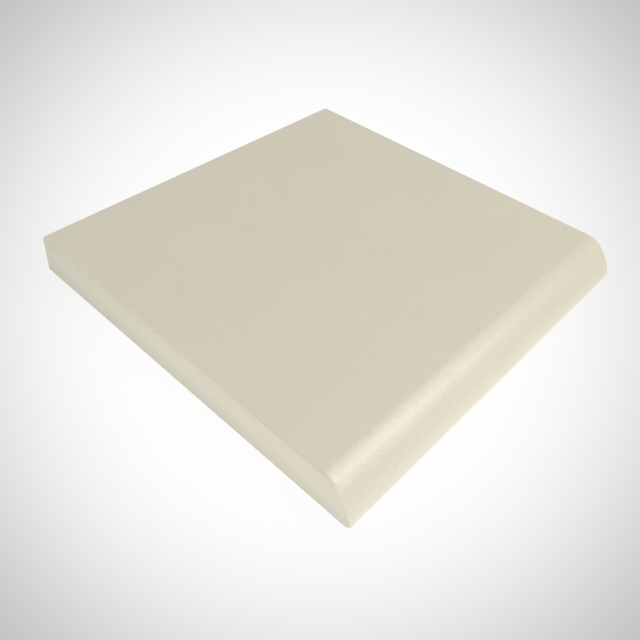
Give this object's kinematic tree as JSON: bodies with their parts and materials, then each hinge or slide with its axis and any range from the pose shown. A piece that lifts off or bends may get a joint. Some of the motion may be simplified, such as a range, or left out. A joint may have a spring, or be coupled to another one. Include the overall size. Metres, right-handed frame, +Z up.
{
  "type": "bullnose tile",
  "caption": "Square vitrified ceramic tile with one edge rolled over into a bullnose, drafted plain edges and a keyed bed, for edging a tiled floor, step or sill.",
  "frame": {"origin": "middle of the bed, in the bed's plane, under the centre of the tile's box", "axes": "+X from the plain back edge to the bullnose, +Y along the nose, +Z up out of the face"},
  "size_m": [0.1, 0.1, 0.0098],
  "materials": {
    "vitrified_body": "satin"
  },
  "bodies": {
    "root": {"bullnose_tile": "vitrified_body"}
  },
  "joints": []
}
